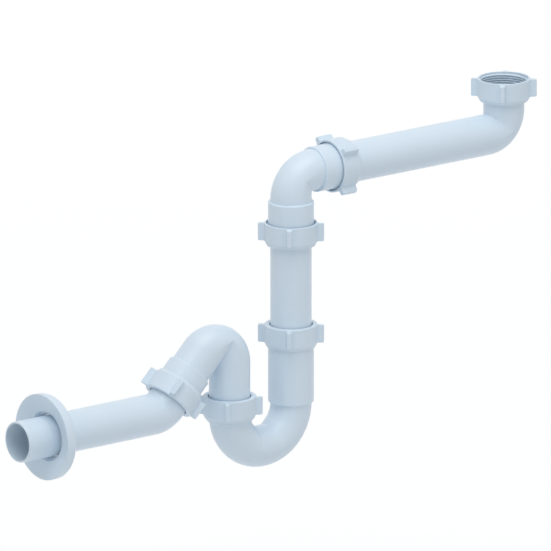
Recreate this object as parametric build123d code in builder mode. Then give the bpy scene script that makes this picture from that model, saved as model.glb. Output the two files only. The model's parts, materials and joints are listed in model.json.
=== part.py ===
from build123d import *

import os
from math import radians, tan

# A space-saving sink trap. It hangs from the sink's waste by its inlet nut, carries the water along an arm
# to the back of the cupboard, drops into a U-bend that holds the water seal, and leaves through the wall.
# Origin: centre of the inlet washer's upper face, where the waste ends. +Z is up, the wall lies towards -X,
# and every pipe axis lies in the XZ plane. Sizes are in millimetres.

# Tube, the 40 mm waste size
tube_r = 20.0
tube_wall = 1.8
spigot_length = 28.0
spigot_bevel = 1.0
mark_width = 1.0
mark_depth = 0.4

# Sockets that the tubes slide into
socket_fit = 0.4
socket_wall = 1.8
socket_ledge = 2.0
stop_gap = 1.0
thread_height = 0.5
thread_length = 11.0
thread_lead = 0.5
shoulder_round = 1.2
seat_angle = 30.0
seat_lip = 0.8

# Hand nuts
nut_height = 22.0
nut_wall = 2.85
nut_lip = 3.0
nut_lip_gap = 1.2
nut_taper = 4.0
nut_tip_wall = 0.75
nut_rim_round = 0.7
nut_mouth_bevel = 0.5
nut_mouth_relief = 1.2
nut_mouth_depth = 4.0
thread_fit = 0.25
lug_count = 4
lug_stand = 6.2
lug_drop = 0.8
lug_length = 17.2
lug_crest = 4.4
lug_lean = 6.0
lug_edge_round = 0.8
lug_root_round = 2.0
lug_end_round = 1.2
lug_angle = 41.0
side_lug_angle = 49.0
outlet_lug_angle = 51.0

# Tapered seal and slip ring in each compression joint
seal_head = 4.0
seal_fit = 0.1
seal_gap = 0.25
ring_thickness = 1.5
ring_gap = 0.3
ring_fit = 0.4

# Inlet union, a G 1 1/2 thread over a flanged pipe end
inlet_thread_r = 23.9
inlet_nut_wall = 1.9
inlet_relief = 0.3
washer_thickness = 3.0
flange_thickness = 2.5
flange_stand = 2.2
washer_fit = 1.4

# Layout of the pipe run
arm_drop = 40.3
arm_reach = 261.6
inlet_bend_inside = 3.0
elbow_bend_inside = 6.0
elbow_side_socket = 32.0
elbow_drop_socket = 34.2
bend_tangent = 1.0
bend_ease = 0.05
drop_span = 97.6
drop_insert = 33.0
trap_leg_spacing = 75.0
trap_long_socket = 68.3
trap_short_socket = 15.5
trap_short_leg = 10.0
swan_rise = 91.5
swan_bend_inside = 0.3
swan_slope = 45.0
swan_slope_length = 97.1
swan_socket_length = 28.0
outlet_corner = 23.1
outlet_bend_inside = 5.0
outlet_run = 171.4

# Wall rosette
rosette_r = 42.0
rosette_thickness = 13.0
rosette_round = 7.0
rosette_rim = 1.5
rosette_hollow = 5.5
rosette_fit = 0.4
rosette_from_end = 29.0
rosette_steps = 3
rosette_step_width = 1.3
rosette_step_depth = 2.0

# Sizes that follow
bore_r = tube_r - tube_wall
socket_bore_r = tube_r + socket_fit
socket_r = socket_bore_r + socket_wall
thread_r = socket_r + thread_height
joint_thread_r = thread_r + thread_fit
lip_hole_r = tube_r + nut_lip_gap
seat_mouth_r = thread_r - thread_lead - seat_lip
seat_depth = (seat_mouth_r - socket_bore_r) / tan(radians(seat_angle))
nut_end = seal_head + seal_gap + ring_thickness + ring_gap + nut_lip
flange_r = tube_r + flange_stand
inlet_bend_r = tube_r + inlet_bend_inside
elbow_bend_r = tube_r + elbow_bend_inside
swan_bend_r = tube_r + swan_bend_inside
outlet_bend_r = tube_r + outlet_bend_inside
trap_bend_r = trap_leg_spacing / 2

# Headings, which all lie in the XZ plane and turn about the same line
UP = Vector(0, 0, 1)
DOWN = Vector(0, 0, -1)
TO_ROOM = Vector(1, 0, 0)
TO_WALL = Vector(-1, 0, 0)
TURNING = Axis((0, 0, 0), (0, -1, 0))
DOWN_SLOPE = TO_WALL.rotate(TURNING, swan_slope)


def square_to(point, heading):
    """The plane through a point on a pipe's axis, facing along the heading."""
    return Plane(origin=point, x_dir=(0, 1, 0), z_dir=heading)


def across(point, heading, pipe_r):
    """The disc that a pipe covers across its axis at a point."""
    with BuildSketch(square_to(point, heading)) as section:
        Circle(pipe_r)
    return section.sketch


def half_bend(place, heading, side, turn, bend_r, pipe_r):
    """Half of a moulded bend, from its end at a place up to the mitre where its two straight cores meet."""
    inward = heading.rotate(TURNING, side * 90)
    with BuildPart() as half:
        with BuildSketch(Plane(origin=place, x_dir=inward, z_dir=heading)):
            Circle(pipe_r + bend_ease)
            with Locations((bend_r / 2, 0)):
                Rectangle(bend_r, 2 * (pipe_r + bend_ease))
        axis = Axis(place + inward * bend_r, (0, -side, 0))
        revolve(axis=axis, revolution_arc=turn / 2)
        with BuildSketch(square_to(place, heading)):
            Circle(pipe_r)
        extrude(amount=bend_r + 2 * pipe_r, mode=Mode.INTERSECT)
    return half.part


def lay_pipe(start, heading, steps, bend_r, pipe_r, mode=Mode.ADD):
    """Lay round bar. A step is the length of a straight run and the turn after it, mitred unless swept."""
    here = Vector(start)
    for length, turn, *swept in steps:
        if length:
            extrude(across(here, heading, pipe_r), amount=length, mode=mode)
        here = here + heading * length
        if turn:
            side = 1 if turn > 0 else -1
            centre = here + heading.rotate(TURNING, side * 90) * bend_r
            onward = heading.rotate(TURNING, turn)
            there = centre - onward.rotate(TURNING, side * 90) * bend_r
            if swept:
                arc = Axis(centre, (0, -side, 0))
                revolve(across(here, heading, pipe_r), axis=arc, revolution_arc=abs(turn), mode=mode)
            else:
                add(half_bend(here, heading, side, abs(turn), bend_r, pipe_r), mode=mode)
                add(half_bend(there, -onward, -side, abs(turn), bend_r, pipe_r), mode=mode)
            here, heading = there, onward
    return here


def turn_on(place, outline, rounded=(), round_r=0, mode=Mode.ADD):
    """Revolve a closed outline of (radius, height) points about a place's axis, with some corners rounded."""
    half = Plane(origin=place.origin, x_dir=place.x_dir, z_dir=place.x_dir.cross(place.z_dir))
    with BuildSketch(half) as profile:
        with BuildLine():
            Polyline(*outline, close=True)
        make_face()
        if rounded:
            fillet([profile.vertices().sort_by_distance(corner)[0] for corner in rounded], round_r)
    revolve(profile.sketch, axis=Axis(place.origin, place.z_dir), mode=mode)


def socket_shell(place, length):
    """The outside of a threaded socket behind its mouth at the place, down to its rounded shoulder."""
    turn_on(
        place,
        [
            (0, 0),
            (thread_r - thread_lead, 0),
            (thread_r, -thread_lead),
            (thread_r, -thread_length),
            (socket_r, -thread_length),
            (socket_r, -length),
            (0, -length),
        ],
        rounded=[(socket_r, -length)],
        round_r=shoulder_round,
    )


def socket_bore(place, depth):
    """Cut the socket's tapered seat and the bore for the tube, down to the ledge that stops it."""
    turn_on(
        place,
        [(0, 0), (seat_mouth_r, 0), (socket_bore_r, -seat_depth), (socket_bore_r, -depth), (0, -depth)],
        mode=Mode.SUBTRACT,
    )


def keep(piece, name):
    """Label a finished piece and write it."""
    piece.part.label = name
    export_step(piece.part, f"parts/{name}.step")


def nut(rim, thread_bore_r, wall, lip_at_rim, first_lug=lug_angle, relief_from=0):
    """A hand nut with grip lugs. Its rim lies on the given plane, and it runs along the plane's normal."""
    body_r = thread_bore_r + wall
    tip_r = joint_thread_r + nut_tip_wall
    lug_root_r = body_r - wall / 2
    crest_r = body_r + lug_stand
    root_half = lug_crest / 2 + (crest_r - lug_root_r) * tan(radians(lug_lean))
    bore_start = nut_lip if lip_at_rim else 0
    bore_depth = nut_height - nut_lip
    with BuildPart() as body:
        with BuildSketch(rim.offset(lug_drop)) as plan:
            Circle(body_r)
            with PolarLocations(0, lug_count, start_angle=first_lug):
                Polygon(
                    (lug_root_r, -root_half),
                    (crest_r, -lug_crest / 2),
                    (crest_r, lug_crest / 2),
                    (lug_root_r, root_half),
                    align=None,
                )
            fillet(plan.vertices().group_by(SortBy.DISTANCE)[-1], lug_edge_round)
            fillet(plan.vertices().group_by(SortBy.DISTANCE)[0], lug_root_round)
        extrude(amount=lug_length)
        lug_end = lug_drop + lug_length
        turn_on(
            rim,
            [(0, lug_drop), (crest_r, lug_drop), (crest_r, lug_end), (0, lug_end)],
            rounded=[(crest_r, lug_drop), (crest_r, lug_end)],
            round_r=lug_end_round,
            mode=Mode.INTERSECT,
        )
        turn_on(
            rim,
            [(0, 0), (body_r, 0), (body_r, nut_height - nut_taper), (tip_r, nut_height), (0, nut_height)],
            rounded=[(body_r, 0)],
            round_r=nut_rim_round,
        )
        with BuildSketch(rim):
            Circle(lip_hole_r)
        extrude(amount=nut_height, mode=Mode.SUBTRACT)
        with BuildSketch(rim.offset(bore_start)):
            Circle(thread_bore_r)
        extrude(amount=bore_depth, mode=Mode.SUBTRACT)
        if relief_from:
            mouth_r = thread_bore_r + nut_mouth_bevel
            mouth = [(0, 0), (mouth_r, 0), (thread_bore_r, nut_mouth_bevel), (0, nut_mouth_bevel)]
            turn_on(rim, mouth, mode=Mode.SUBTRACT)
            with BuildSketch(rim.offset(relief_from)):
                Circle(thread_bore_r + inlet_relief)
            extrude(amount=bore_depth - relief_from, mode=Mode.SUBTRACT)
        elif not lip_at_rim:
            with BuildSketch(rim):
                Circle(thread_bore_r + nut_mouth_relief)
            extrude(amount=nut_mouth_depth, mode=Mode.SUBTRACT)
    return body


def compression_joint(name, place, lip_at_rim, first_lug=lug_angle):
    """Nut, slip ring and tapered seal of the joint whose socket has its mouth at the place."""
    with BuildPart() as seal:
        slope = tan(radians(seat_angle))
        head_r = thread_r - thread_lead
        inside_r = tube_r + seal_fit
        turn_on(
            place,
            [
                (inside_r, seal_head),
                (head_r, seal_head),
                (head_r, seal_gap),
                (seat_mouth_r, seal_gap),
                (inside_r + seal_gap, seal_gap - (seat_mouth_r - inside_r - seal_gap) / slope),
                (inside_r, seal_gap - (seat_mouth_r - inside_r - seal_gap) / slope),
            ],
        )
    keep(seal, f"{name}_seal")

    ring_start = seal_head + seal_gap
    with BuildPart() as slip_ring:
        turn_on(
            place,
            [
                (tube_r + ring_fit, ring_start),
                (thread_r, ring_start),
                (thread_r, ring_start + ring_thickness),
                (tube_r + ring_fit, ring_start + ring_thickness),
            ],
        )
    keep(slip_ring, f"{name}_slip_ring")

    if lip_at_rim:
        rim = Plane(origin=place.origin + place.z_dir * nut_end, x_dir=place.x_dir, z_dir=-place.z_dir)
    else:
        rim = place.offset(nut_end - nut_height)
    keep(nut(rim, joint_thread_r, nut_wall, lip_at_rim, first_lug), f"{name}_nut")


os.makedirs("parts", exist_ok=True)

# Inlet nut, threaded down from its rim, with a relief around the washer and the flange
inlet_lip_top = -washer_thickness - flange_thickness - ring_gap
inlet_rim_height = inlet_lip_top - nut_lip + nut_height
inlet_rim = square_to((0, 0, inlet_rim_height), DOWN)
inlet_nut = nut(inlet_rim, inlet_thread_r, inlet_nut_wall, lip_at_rim=False, relief_from=inlet_rim_height)
keep(inlet_nut, "inlet_nut")

with BuildPart() as inlet_washer:
    with BuildSketch(Plane.XY.offset(-washer_thickness)):
        Circle(inlet_thread_r - washer_fit)
        Circle(bore_r, mode=Mode.SUBTRACT)
    extrude(amount=washer_thickness)
keep(inlet_washer, "inlet_washer")

# Inlet pipe: flange under the washer, bend, and the arm that reaches back to the elbow
elbow_shoulder = elbow_bend_r + bend_tangent
elbow_ledge = elbow_shoulder + socket_ledge
flange_top = (0, 0, -washer_thickness)
inlet_run = arm_drop - washer_thickness - inlet_bend_r
arm_run = arm_reach - inlet_bend_r - elbow_ledge - stop_gap
inlet_steps = [(inlet_run, -90), (arm_run, 0)]
with BuildPart() as inlet_pipe:
    lay_pipe(flange_top, DOWN, inlet_steps, inlet_bend_r, tube_r)
    with BuildSketch(square_to(flange_top, DOWN)):
        Circle(flange_r)
    extrude(amount=flange_thickness)
    lay_pipe(flange_top, DOWN, inlet_steps, inlet_bend_r, bore_r, mode=Mode.SUBTRACT)
keep(inlet_pipe, "inlet_pipe")

# Elbow between the arm and the drop tube
elbow_corner = Vector(-arm_reach, 0, -arm_drop)
elbow_start = elbow_corner + TO_ROOM * elbow_shoulder
elbow_steps = [(bend_tangent, 90), (bend_tangent, 0)]
elbow_bore_steps = [(elbow_side_socket + bend_tangent, 90), (bend_tangent + elbow_drop_socket, 0)]
side_mouth = square_to(elbow_start + TO_ROOM * elbow_side_socket, TO_ROOM)
upper_mouth = square_to(elbow_corner + DOWN * (elbow_shoulder + elbow_drop_socket), DOWN)
with BuildPart() as elbow:
    lay_pipe(elbow_start, TO_WALL, elbow_steps, elbow_bend_r, tube_r)
    socket_shell(side_mouth, elbow_side_socket)
    socket_shell(upper_mouth, elbow_drop_socket)
    lay_pipe(side_mouth.origin, TO_WALL, elbow_bore_steps, elbow_bend_r, bore_r, mode=Mode.SUBTRACT)
    socket_bore(side_mouth, elbow_side_socket - socket_ledge)
    socket_bore(upper_mouth, elbow_drop_socket - socket_ledge)
keep(elbow, "elbow")
compression_joint("side", side_mouth, lip_at_rim=False, first_lug=side_lug_angle)
compression_joint("upper", upper_mouth, lip_at_rim=False)

# Drop tube, which slides in the long leg of the U-bend to set the height
long_leg_top = upper_mouth.origin + DOWN * drop_span
drop_top = elbow_corner + DOWN * (elbow_ledge + stop_gap)
drop_length = (drop_top - long_leg_top).Z + drop_insert
with BuildPart() as drop_tube:
    with BuildSketch(square_to(drop_top, DOWN)):
        Circle(tube_r)
        Circle(bore_r, mode=Mode.SUBTRACT)
    extrude(amount=drop_length)
keep(drop_tube, "drop_tube")

# U-bend: a long socket for the drop tube, the trap's bend, and a short socket for the swan neck
long_mouth = square_to(long_leg_top, UP)
bend_start = long_leg_top + DOWN * (trap_long_socket + bend_tangent)
short_leg_top = bend_start + TO_WALL * trap_leg_spacing + UP * trap_short_leg
short_mouth = square_to(short_leg_top, UP)
short_depth = trap_short_leg - bend_tangent
trap_turns = [(0, -45), (0, -45), (0, -45, "swept")]
trap_steps = [(bend_tangent, -45, "swept"), *trap_turns, (bend_tangent, 0)]
with BuildPart() as u_bend:
    lay_pipe(bend_start + UP * bend_tangent, DOWN, trap_steps, trap_bend_r, tube_r)
    socket_shell(long_mouth, trap_long_socket)
    socket_shell(short_mouth, trap_short_socket)
    lay_pipe(
        long_leg_top,
        DOWN,
        [(trap_long_socket + bend_tangent, -45, "swept"), *trap_turns, (trap_short_leg, 0)],
        trap_bend_r,
        bore_r,
        mode=Mode.SUBTRACT,
    )
    socket_bore(long_mouth, trap_long_socket - socket_ledge)
    socket_bore(short_mouth, short_depth)
keep(u_bend, "u_bend")
compression_joint("lower", long_mouth, lip_at_rim=True)
compression_joint("swan", short_mouth, lip_at_rim=True)

# Swan neck: up out of the short leg, over the top of the water seal, and down to the outlet
swan_foot = short_leg_top + DOWN * (short_depth - stop_gap)
swan_corner = short_leg_top + UP * swan_rise
swan_bend_angle = 90 + swan_slope
swan_tangent = swan_bend_r * tan(radians(swan_bend_angle / 2))
swan_up = swan_rise + short_depth - stop_gap - swan_tangent
swan_down = swan_slope_length - swan_tangent
outlet_mouth = square_to(swan_corner + DOWN_SLOPE * swan_slope_length, DOWN_SLOPE)
swan_steps = [(swan_up, swan_bend_angle), (swan_down, 0)]
with BuildPart() as swan_neck:
    lay_pipe(swan_foot, UP, swan_steps, swan_bend_r, tube_r)
    socket_shell(outlet_mouth, swan_socket_length)
    lay_pipe(swan_foot, UP, swan_steps, swan_bend_r, bore_r, mode=Mode.SUBTRACT)
    socket_bore(outlet_mouth, swan_socket_length - socket_ledge)
keep(swan_neck, "swan_neck")
compression_joint("outlet", outlet_mouth, lip_at_rim=True, first_lug=outlet_lug_angle)

# Outlet pipe: out of the slope, round to level, and through the wall, with a mark for how far it goes in
outlet_insert = swan_socket_length - socket_ledge - stop_gap
outlet_tangent = outlet_bend_r * tan(radians(swan_slope / 2))
outlet_slope_run = outlet_insert + outlet_corner - outlet_tangent
outlet_level_run = outlet_run - outlet_tangent
outlet_start = outlet_mouth.origin - DOWN_SLOPE * outlet_insert
outlet_steps = [(outlet_slope_run, -swan_slope), (outlet_level_run, 0)]
with BuildPart() as outlet_pipe:
    outlet_end = lay_pipe(outlet_start, DOWN_SLOPE, outlet_steps, outlet_bend_r, tube_r)
    lay_pipe(outlet_start, DOWN_SLOPE, outlet_steps, outlet_bend_r, bore_r, mode=Mode.SUBTRACT)
    end_edges = outlet_pipe.edges().filter_by(GeomType.CIRCLE).group_by(Axis.X)[0]
    chamfer(end_edges.sort_by(SortBy.RADIUS)[-1], length=spigot_bevel, length2=spigot_bevel / 2)
    mark_place = outlet_end + TO_ROOM * spigot_length
    with BuildSketch(square_to(mark_place, TO_ROOM)):
        Circle(tube_r + mark_depth)
        Circle(tube_r - mark_depth, mode=Mode.SUBTRACT)
    extrude(amount=mark_width, mode=Mode.SUBTRACT)
keep(outlet_pipe, "outlet_pipe")

# Rosette, which covers the hole in the wall: dished behind, with a stepped collar, rounded towards the room
wall_plane = square_to(outlet_end + TO_ROOM * rosette_from_end, TO_ROOM)
rosette_hole_r = tube_r + rosette_fit
collar = []
for step in range(rosette_steps):
    step_r = rosette_hole_r + step * rosette_step_width
    step_height = rosette_hollow + (rosette_steps - step) * rosette_step_depth
    collar += [(step_r, step_height), (step_r + rosette_step_width, step_height)]
collar_r = rosette_hole_r + rosette_steps * rosette_step_width
with BuildPart() as wall_rosette:
    turn_on(
        wall_plane,
        [
            (rosette_r, 0),
            (rosette_r, rosette_thickness),
            (rosette_hole_r, rosette_thickness),
            *collar,
            (collar_r, rosette_hollow),
            (rosette_r - rosette_rim, 0),
        ],
    )
    room_edges = wall_rosette.edges().filter_by(GeomType.CIRCLE).group_by(Axis.X)[-1]
    fillet(room_edges.sort_by(SortBy.RADIUS)[-1], rosette_round)
keep(wall_rosette, "wall_rosette")
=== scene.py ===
# %% [markdown]
# # A space-saving sink trap
#
# The trap hangs under a sink: a hand nut grips the sink's waste, an arm leads the water to the back of the
# cupboard, and the U-bend keeps a plug of water that stops the smell of the drain. Its solids come from CAD.
# This lesson gives them their plastics, adds the threads that the solids leave plain, and lights the whole.

# %% Load the frame
import json
from math import cos, pi, radians, sin

import bpy
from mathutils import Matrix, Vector


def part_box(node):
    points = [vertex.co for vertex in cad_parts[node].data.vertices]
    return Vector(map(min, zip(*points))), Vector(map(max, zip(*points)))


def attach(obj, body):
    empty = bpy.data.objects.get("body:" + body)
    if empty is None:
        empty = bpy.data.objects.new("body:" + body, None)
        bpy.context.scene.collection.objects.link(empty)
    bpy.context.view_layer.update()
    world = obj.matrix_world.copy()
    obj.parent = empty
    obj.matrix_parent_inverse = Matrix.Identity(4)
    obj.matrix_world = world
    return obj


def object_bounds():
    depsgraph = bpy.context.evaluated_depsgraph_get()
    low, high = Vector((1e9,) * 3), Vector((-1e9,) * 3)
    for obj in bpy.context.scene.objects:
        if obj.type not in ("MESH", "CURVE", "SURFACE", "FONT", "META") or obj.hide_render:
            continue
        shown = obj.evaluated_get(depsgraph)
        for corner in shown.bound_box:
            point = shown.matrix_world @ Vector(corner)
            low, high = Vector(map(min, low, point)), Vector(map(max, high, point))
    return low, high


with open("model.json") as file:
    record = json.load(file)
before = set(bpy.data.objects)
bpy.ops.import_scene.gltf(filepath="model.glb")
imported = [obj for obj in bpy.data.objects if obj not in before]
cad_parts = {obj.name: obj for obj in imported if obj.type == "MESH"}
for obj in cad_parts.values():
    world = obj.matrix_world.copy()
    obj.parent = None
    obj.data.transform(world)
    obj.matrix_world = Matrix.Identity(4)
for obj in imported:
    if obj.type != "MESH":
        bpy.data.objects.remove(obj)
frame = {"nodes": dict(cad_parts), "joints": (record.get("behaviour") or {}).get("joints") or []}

nodes = frame["nodes"]
cad_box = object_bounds()
print("CAD nodes:", len(nodes), "box:", [tuple(round(v, 4) for v in corner) for corner in cad_box])

# %% [markdown]
# ## Colours and nodes
#
# Colours are written as the hex values that a colour picker shows. Blender's shaders work with light, so one
# function turns a hex value into linear numbers. A second one adds a node, with its settings and its links in
# one place, so a material reads from top to bottom.

# %% Two helpers for the materials
MM = 0.001


def linear(hex_colour):
    """A hex colour as the linear red, green, blue and alpha that a shader takes."""
    levels = [int(hex_colour[i : i + 2], 16) / 255 for i in (1, 3, 5)]
    return tuple(v / 12.92 if v <= 0.04045 else ((v + 0.055) / 1.055) ** 2.4 for v in levels) + (1.0,)


def add_node(tree, kind, inputs, **settings):
    """Add a node. An input is a plain value, or the output of another node, which is then linked."""
    node = tree.nodes.new(kind)
    for name, value in settings.items():
        setattr(node, name, value)
    for name, value in inputs.items():
        if isinstance(value, bpy.types.NodeSocket):
            tree.links.new(value, node.inputs[name])
        else:
            node.inputs[name].default_value = value
    return node


print("white plastic as light:", [round(v, 3) for v in linear("#DCECF9")])

# %% [markdown]
# ## Polypropylene
#
# Traps are moulded or extruded in polypropylene, tinted white with a cool cast. The plastic is satin rather
# than glossy: its skin copies the mould's fine spark-eroded grain, and where the melt flowed it sets a little
# duller in soft patches. An extruded tube shows faint lines along its length instead, left by the die. One
# function makes all of these. The patches vary the colour by a hair and the roughness by more, and the grain
# is a low bump. The real grain is about a tenth of a millimetre, too fine to show, so it is drawn wider.

# %% Polypropylene material
POLYPROPYLENE_IOR = 1.49
FLOW_PATCH = 40 * MM
PATCH_LOW, PATCH_HIGH = 0.15, 0.85
GRAIN_SIZE = 0.8 * MM
GRAIN_HEIGHT = 0.02 * MM
GRAIN_STRENGTH = 0.5


def polypropylene(name, pale, deep, sleek, dull, stretch=(1, 1, 1)):
    """White plastic between two colours and two roughnesses. A stretch below 1 draws the grain out."""
    material = bpy.data.materials.new(name)
    material.use_nodes = True
    tree = material.node_tree
    place = add_node(tree, "ShaderNodeTexCoord", {})
    patches = add_node(
        tree,
        "ShaderNodeTexNoise",
        {"Vector": place.outputs["Object"], "Scale": 1 / FLOW_PATCH, "Detail": 3.0},
    )
    tint = add_node(tree, "ShaderNodeValToRGB", {"Fac": patches.outputs["Fac"]})
    for element, position, colour in zip(tint.color_ramp.elements, (PATCH_LOW, PATCH_HIGH), (deep, pale)):
        element.position = position
        element.color = linear(colour)
    satin = add_node(
        tree,
        "ShaderNodeMapRange",
        {
            "Value": patches.outputs["Fac"],
            "From Min": PATCH_LOW,
            "From Max": PATCH_HIGH,
            "To Min": dull,
            "To Max": sleek,
        },
    )
    drawn = add_node(tree, "ShaderNodeMapping", {"Vector": place.outputs["Object"], "Scale": stretch})
    grain = add_node(
        tree,
        "ShaderNodeTexNoise",
        {"Vector": drawn.outputs["Vector"], "Scale": 1 / GRAIN_SIZE, "Detail": 2.0},
    )
    bump = add_node(
        tree,
        "ShaderNodeBump",
        {"Height": grain.outputs["Fac"], "Strength": GRAIN_STRENGTH, "Distance": GRAIN_HEIGHT},
    )
    shader = tree.nodes["Principled BSDF"]
    shader.inputs["IOR"].default_value = POLYPROPYLENE_IOR
    tree.links.new(tint.outputs["Color"], shader.inputs["Base Color"])
    tree.links.new(satin.outputs["Result"], shader.inputs["Roughness"])
    tree.links.new(bump.outputs["Normal"], shader.inputs["Normal"])
    return material


print("polypropylene grain drawn", round(GRAIN_SIZE / MM, 2), "mm wide")

# %% The four plastics
DIE_LINE_DRAW = 0.01
TUBE_WHITE = {"pale": "#DCECF9", "deep": "#D9E9F6"}
NUT_WHITE = {"pale": "#DAEAF7", "deep": "#D6E6F3"}
TUBE_SATIN = {"sleek": 0.26, "dull": 0.34}

fitting_plastic = polypropylene("moulded polypropylene fitting", **TUBE_WHITE, sleek=0.30, dull=0.40)
nut_plastic = polypropylene("moulded polypropylene nut", **NUT_WHITE, sleek=0.36, dull=0.46)
upright_tube = polypropylene(
    "extruded polypropylene, drawn upright", **TUBE_WHITE, **TUBE_SATIN, stretch=(1, 1, DIE_LINE_DRAW)
)
level_tube = polypropylene(
    "extruded polypropylene, drawn level", **TUBE_WHITE, **TUBE_SATIN, stretch=(DIE_LINE_DRAW, 1, 1)
)
print("plastics:", [m.name for m in (fitting_plastic, nut_plastic, upright_tube, level_tube)])

# %% [markdown]
# ## Rubber
#
# The tapered seals and the inlet washer are moulded in black EPDM rubber, dull with a fine matt skin and a
# few pale specks of the talc that keeps rings from sticking in the bag. The skin and the specks could have a
# noise each, but talc lies on the skin's high spots, so one noise drives both the bump and the colour.

# %% Rubber material
EPDM_IOR = 1.52
EPDM_ROUGHNESS = 0.7
TALC_SPECK = 1.2 * MM
TALC_HEIGHT = 0.05 * MM
TALC_STARTS, TALC_FULL = 0.55, 0.85

rubber = bpy.data.materials.new("moulded EPDM rubber")
rubber.use_nodes = True
tree = rubber.node_tree
place = add_node(tree, "ShaderNodeTexCoord", {})
talc = add_node(
    tree,
    "ShaderNodeTexNoise",
    {"Vector": place.outputs["Object"], "Scale": 1 / TALC_SPECK, "Detail": 4.0, "Roughness": 0.7},
)
dusting = add_node(tree, "ShaderNodeValToRGB", {"Fac": talc.outputs["Fac"]})
dusting.color_ramp.elements[0].position = TALC_STARTS
dusting.color_ramp.elements[0].color = linear("#242527")
dusting.color_ramp.elements[1].position = TALC_FULL
dusting.color_ramp.elements[1].color = linear("#5A5C60")
skin = add_node(
    tree, "ShaderNodeBump", {"Height": talc.outputs["Fac"], "Strength": 0.4, "Distance": TALC_HEIGHT}
)
shader = tree.nodes["Principled BSDF"]
shader.inputs["IOR"].default_value = EPDM_IOR
shader.inputs["Roughness"].default_value = EPDM_ROUGHNESS
tree.links.new(dusting.outputs["Color"], shader.inputs["Base Color"])
tree.links.new(skin.outputs["Normal"], shader.inputs["Normal"])
print("rubber:", rubber.name)

# %% [markdown]
# ## Polyethylene
#
# The slip rings are natural polyethylene: milky and waxy, so that the nut turns on them without dragging the
# seal. A wide soft noise clouds the white a little, and the shader's roughness gives the waxy sheen.

# %% Slip ring material
POLYETHYLENE_IOR = 1.51
POLYETHYLENE_ROUGHNESS = 0.5
WAX_PATCH = 12 * MM

slip_plastic = bpy.data.materials.new("natural polyethylene")
slip_plastic.use_nodes = True
tree = slip_plastic.node_tree
place = add_node(tree, "ShaderNodeTexCoord", {})
wax = add_node(tree, "ShaderNodeTexNoise", {"Vector": place.outputs["Object"], "Scale": 1 / WAX_PATCH})
milk = add_node(tree, "ShaderNodeValToRGB", {"Fac": wax.outputs["Fac"]})
milk.color_ramp.elements[0].color = linear("#D9DCDC")
milk.color_ramp.elements[1].color = linear("#ECEEEC")
shader = tree.nodes["Principled BSDF"]
shader.inputs["IOR"].default_value = POLYETHYLENE_IOR
shader.inputs["Roughness"].default_value = POLYETHYLENE_ROUGHNESS
tree.links.new(milk.outputs["Color"], shader.inputs["Base Color"])
print("slip ring plastic:", slip_plastic.name)

# %% [markdown]
# ## Dress the solids
#
# Every CAD node keeps its mesh and its place, and takes a finish by what it is: the drop tube and the two
# long pipes are made of extruded tube, the bends and sockets are moulded, and the nuts come from a rougher
# mould. Most names end in what the piece is, so the finish is looked up by that last word.

# %% Give each node its finish
FINISHES = {
    "tube": upright_tube,
    "pipe": level_tube,
    "nut": nut_plastic,
    "washer": rubber,
    "seal": rubber,
    "ring": slip_plastic,
}

for name, node in nodes.items():
    node.data.materials.clear()
    node.data.materials.append(FINISHES.get(name.split("_")[-1], fitting_plastic))
print("dressed:", {m.name: sum(n.data.materials[0] == m for n in nodes.values()) for m in bpy.data.materials})

# %% [markdown]
# ## The thread in the inlet nut
#
# The nut takes the waste's G 1 1/2 pipe thread, eleven turns to the inch, and its ridges are the first thing
# that shows in the open nut. A ridge has straight flanks and a narrow flat crest. It could be drawn with
# bump, but the ridges are seen from the side against the bright rim, so they are real: a small face is shaped
# into the ridge's section, a Screw modifier sweeps it up the bore, and two cuts trim the thread's ends level.
# The bore stays plain for the first two millimetres, so that the waste finds its way in straight.

# %% Sweep a ridge into a thread
THREAD_STEPS = 72
MERGE_REACH = 0.001 * MM
SMOOTH_BELOW = radians(30)


def thread_ridge(name, root_r, crest_r, pitch, root_width, crest_width, low, high):
    """A ridge wound round Z from one height to another, on a wall at root_r, with its crest at crest_r."""
    bpy.ops.object.select_all(action="DESELECT")
    bpy.ops.mesh.primitive_plane_add(size=1, location=(0, 0, 0))
    ridge = bpy.context.object
    ridge.name = name
    half_root, half_crest = root_width / 2, crest_width / 2
    start = low - pitch
    section = {
        (-0.5, -0.5): (root_r, start - half_root),
        (-0.5, 0.5): (root_r, start + half_root),
        (0.5, -0.5): (crest_r, start - half_crest),
        (0.5, 0.5): (crest_r, start + half_crest),
    }
    for vertex in ridge.data.vertices:
        radius, height = section[(vertex.co.x, vertex.co.y)]
        vertex.co = (radius, 0, height)
    bpy.ops.object.mode_set(mode="EDIT")
    bpy.ops.mesh.select_all(action="SELECT")
    bpy.ops.mesh.delete(type="ONLY_FACE")
    bpy.ops.object.mode_set(mode="OBJECT")
    sweep = ridge.modifiers.new("winding", "SCREW")
    sweep.axis = "Z"
    sweep.angle = 2 * pi
    sweep.screw_offset = pitch
    sweep.iterations = int((high - low) / pitch) + 3
    sweep.steps = THREAD_STEPS
    sweep.render_steps = THREAD_STEPS
    bpy.ops.object.modifier_apply(modifier=sweep.name)
    bpy.ops.object.mode_set(mode="EDIT")
    bpy.ops.mesh.select_all(action="SELECT")
    bpy.ops.mesh.remove_doubles(threshold=MERGE_REACH)
    for height, below in ((low, True), (high, False)):
        bpy.ops.mesh.select_all(action="SELECT")
        bpy.ops.mesh.bisect(
            plane_co=(0, 0, height),
            plane_no=(0, 0, 1),
            use_fill=True,
            clear_inner=below,
            clear_outer=not below,
        )
    bpy.ops.mesh.select_all(action="SELECT")
    bpy.ops.mesh.normals_make_consistent(inside=False)
    bpy.ops.object.mode_set(mode="OBJECT")
    bpy.ops.object.shade_smooth_by_angle(angle=SMOOTH_BELOW)
    return ridge


print("a turn of thread has", THREAD_STEPS, "steps")

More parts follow.
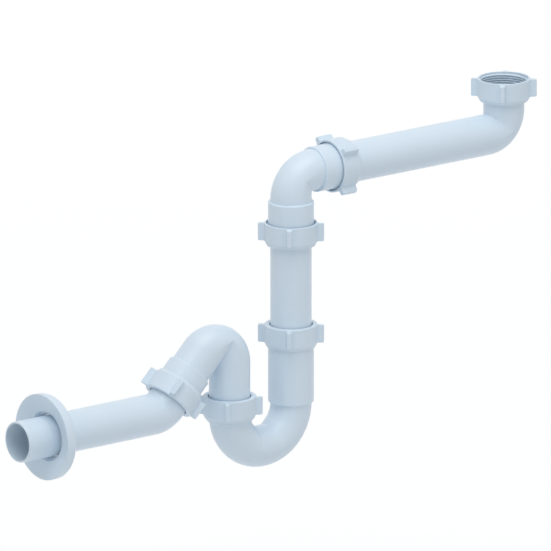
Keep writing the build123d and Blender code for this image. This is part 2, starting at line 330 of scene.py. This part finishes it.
# %% Thread the inlet nut
INCH = 25.4 * MM
PIPE_PITCH = INCH / 11
PIPE_MAJOR_R = 23.9 * MM
RIDGE_DEPTH = 0.64 * PIPE_PITCH
MOUTH_DEPTH = 2.2 * MM
WASHER_CLEARANCE = 0.3 * MM
BEDDING = 0.1 * MM

nut_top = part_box("inlet_nut")[1].z
inlet_thread = thread_ridge(
    "inlet_nut_thread",
    root_r=PIPE_MAJOR_R + BEDDING,
    crest_r=PIPE_MAJOR_R - RIDGE_DEPTH,
    pitch=PIPE_PITCH,
    root_width=0.88 * PIPE_PITCH,
    crest_width=0.22 * PIPE_PITCH,
    low=WASHER_CLEARANCE,
    high=nut_top - MOUTH_DEPTH,
)
inlet_thread.data.materials.append(nut_plastic)
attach(inlet_thread, "inlet_nut")
print("inlet thread faces:", len(inlet_thread.data.polygons))

# %% [markdown]
# ## The threads on the sockets
#
# Each joint nut runs on a coarse thread round its socket, which shows when the nut is backed off. The ridge
# is modelled once, standing on a socket that points up at the origin, and each copy is then turned and moved
# onto its own socket. The transform is applied at once, so the finished object sits at the origin like a CAD
# node.

# %% Thread each socket
SOCKET_BAND_R = 22.7 * MM
SOCKET_CREST = 0.2 * MM
SOCKET_PITCH = 3.0 * MM
SOCKET_THREAD_LOW, SOCKET_THREAD_HIGH = -10.6 * MM, -0.9 * MM
SOCKETS = {"side": "elbow", "upper": "elbow", "lower": "u_bend", "swan": "u_bend", "outlet": "swan_neck"}

pattern = thread_ridge(
    "socket_thread",
    root_r=SOCKET_BAND_R - BEDDING,
    crest_r=SOCKET_BAND_R + SOCKET_CREST,
    pitch=SOCKET_PITCH,
    root_width=1.6 * MM,
    crest_width=0.7 * MM,
    low=SOCKET_THREAD_LOW,
    high=SOCKET_THREAD_HIGH,
)
joints = {joint["name"]: joint for joint in frame["joints"]}
for name, body in SOCKETS.items():
    joint = joints[f"{name}_nut_turn"]
    thread = pattern.copy()
    thread.data = pattern.data.copy()
    thread.name = f"{name}_socket_thread"
    bpy.context.scene.collection.objects.link(thread)
    thread.rotation_mode = "QUATERNION"
    thread.rotation_quaternion = Vector(joint["axis"]).to_track_quat("Z", "Y")
    thread.location = joint["pos_m"]
    bpy.ops.object.select_all(action="DESELECT")
    thread.select_set(True)
    bpy.context.view_layer.objects.active = thread
    bpy.ops.object.transform_apply(location=True, rotation=True, scale=True)
    thread.data.materials.append(fitting_plastic)
    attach(thread, body)
bpy.data.objects.remove(pattern)
print("socket threads:", len(SOCKETS))

# %% [markdown]
# ## A white ground
#
# The picture has a white ground and very soft light. A brighter lamp could wash the floor out to white, but
# it would wash out the plastic too. So the floor and the world get their white only where the camera or a
# reflection sees them: the Light Path node tells which kind of ray asks. The floor lies well below the trap,
# as it does under a sink. It adds less white under the trap, where the lamp is near and the shadow should
# stay, and more towards its far side, where the lamp's light fades.

# %% White floor
FLOOR_DROP = 0.25
FLOOR_SIZE = 40.0
FLOOR_X = -0.28
NEAR_GLOW, FAR_GLOW = 0.30, 0.52
NEAR_REACH, FAR_REACH = 0.3, 2.6
FLOOR_ROUGHNESS = 0.9


def seen_directly(tree):
    """1 for a ray from the camera or through a reflection or glass, 0 for the light on other surfaces."""
    rays = add_node(tree, "ShaderNodeLightPath", {}).outputs
    seen = rays["Is Camera Ray"]
    for kind in ("Is Glossy Ray", "Is Transmission Ray"):
        either = add_node(tree, "ShaderNodeMath", {0: seen, 1: rays[kind]}, operation="MAXIMUM")
        seen = either.outputs["Value"]
    return seen


bpy.ops.object.select_all(action="DESELECT")
bpy.ops.mesh.primitive_plane_add(size=FLOOR_SIZE, location=(FLOOR_X, 0, cad_box[0].z - FLOOR_DROP))
floor = bpy.context.object
floor.name = "floor"
paper = bpy.data.materials.new("white paper ground")
paper.use_nodes = True
tree = paper.node_tree
place = add_node(tree, "ShaderNodeTexCoord", {})
reach = add_node(tree, "ShaderNodeVectorMath", {0: place.outputs["Object"]}, operation="LENGTH")
white = add_node(
    tree,
    "ShaderNodeMapRange",
    {
        "Value": reach.outputs["Value"],
        "From Min": NEAR_REACH,
        "From Max": FAR_REACH,
        "To Min": NEAR_GLOW,
        "To Max": FAR_GLOW,
    },
)
glow = add_node(
    tree,
    "ShaderNodeMath",
    {0: seen_directly(tree), 1: white.outputs["Result"]},
    operation="MULTIPLY",
)
shader = tree.nodes["Principled BSDF"]
shader.inputs["Base Color"].default_value = linear("#EEF0F2")
shader.inputs["Roughness"].default_value = FLOOR_ROUGHNESS
shader.inputs["Emission Color"].default_value = linear("#FFFFFF")
tree.links.new(glow.outputs["Value"], shader.inputs["Emission Strength"])
floor.data.materials.append(paper)
print("floor at z =", round(floor.location.z, 3))

# %% [markdown]
# ## Soft light
#
# In the picture the tops of the level pipes are the brightest, the upright pipes are almost even, and open
# ends are dark inside. A world that is brighter near the horizon than overhead lights the upright walls but
# not the bores. One large lamp above then brings out the tops.

# %% World
HORIZON_LIGHT = 0.66
ZENITH_LIGHT = 0.35

world = bpy.data.worlds.new("white studio")
bpy.context.scene.world = world
world.use_nodes = True
tree = world.node_tree
direction = add_node(tree, "ShaderNodeTexCoord", {})
height = add_node(tree, "ShaderNodeSeparateXYZ", {"Vector": direction.outputs["Generated"]})
dome = add_node(
    tree,
    "ShaderNodeMapRange",
    {"Value": height.outputs["Z"], "To Min": HORIZON_LIGHT, "To Max": ZENITH_LIGHT},
)
level = add_node(
    tree,
    "ShaderNodeMapRange",
    {"Value": seen_directly(tree), "To Min": dome.outputs["Result"], "To Max": 1.0},
)
sky = tree.nodes["Background"]
sky.inputs["Color"].default_value = linear("#FFFFFF")
tree.links.new(level.outputs["Result"], sky.inputs["Strength"])
print("world light from", HORIZON_LIGHT, "at the horizon to", ZENITH_LIGHT, "overhead")

# %% Overhead lamp
LAMP_OFFSET = Vector((-0.4, -0.6, 2.4))
LAMP_SIZE = 2.2
LAMP_WATTS = 37

lamp = bpy.data.objects.new("overhead", bpy.data.lights.new("overhead", "AREA"))
lamp.data.size = LAMP_SIZE
lamp.data.energy = LAMP_WATTS
lamp.location = (cad_box[0] + cad_box[1]) / 2 + LAMP_OFFSET
lamp.rotation_mode = "QUATERNION"
lamp.rotation_quaternion = (-LAMP_OFFSET).to_track_quat("-Z", "Y")
bpy.context.scene.collection.objects.link(lamp)
print("lamp at", tuple(round(v, 2) for v in lamp.location))

# %% [markdown]
# ## Camera
#
# The camera stands in front of the wall end, 38 degrees round from the side and 15 degrees up. In the picture
# the pipes far and near are equally wide, so it looks from far away through a very long lens. Its place comes
# from one point that is known both in the frame and in the picture: the corner of the elbow's axes.

# %% Camera
AZIMUTH = radians(-37.8)
ELEVATION = radians(15.3)
LENS = 1400.0
SENSOR = 36.0
PHOTO_PIXELS = 551
PIXELS_PER_MM = 1.0375
ELBOW_CORNER = Vector((-0.2616, 0, -0.0403))
ELBOW_PIXEL = (291.0, 173.8)

back = Vector((sin(AZIMUTH) * cos(ELEVATION), -cos(AZIMUTH) * cos(ELEVATION), sin(ELEVATION)))
right = Vector((cos(AZIMUTH), sin(AZIMUTH), 0))
upward = back.cross(right)
metres_per_pixel = MM / PIXELS_PER_MM
to_right, to_bottom = [(PHOTO_PIXELS / 2 - pixel) * metres_per_pixel for pixel in ELBOW_PIXEL]
centre = ELBOW_CORNER + right * to_right - upward * to_bottom
distance = PHOTO_PIXELS * metres_per_pixel * LENS / SENSOR

camera = bpy.data.objects.new("camera", bpy.data.cameras.new("camera"))
camera.data.lens = LENS
camera.data.sensor_width = SENSOR
camera.data.clip_end = distance * 3
camera.location = centre + back * distance
camera.rotation_mode = "QUATERNION"
camera.rotation_quaternion = (-back).to_track_quat("-Z", "Y")
bpy.context.scene.collection.objects.link(camera)
bpy.context.scene.camera = camera
bpy.context.scene.view_settings.view_transform = "Standard"
print("camera", round(distance, 2), "m away")
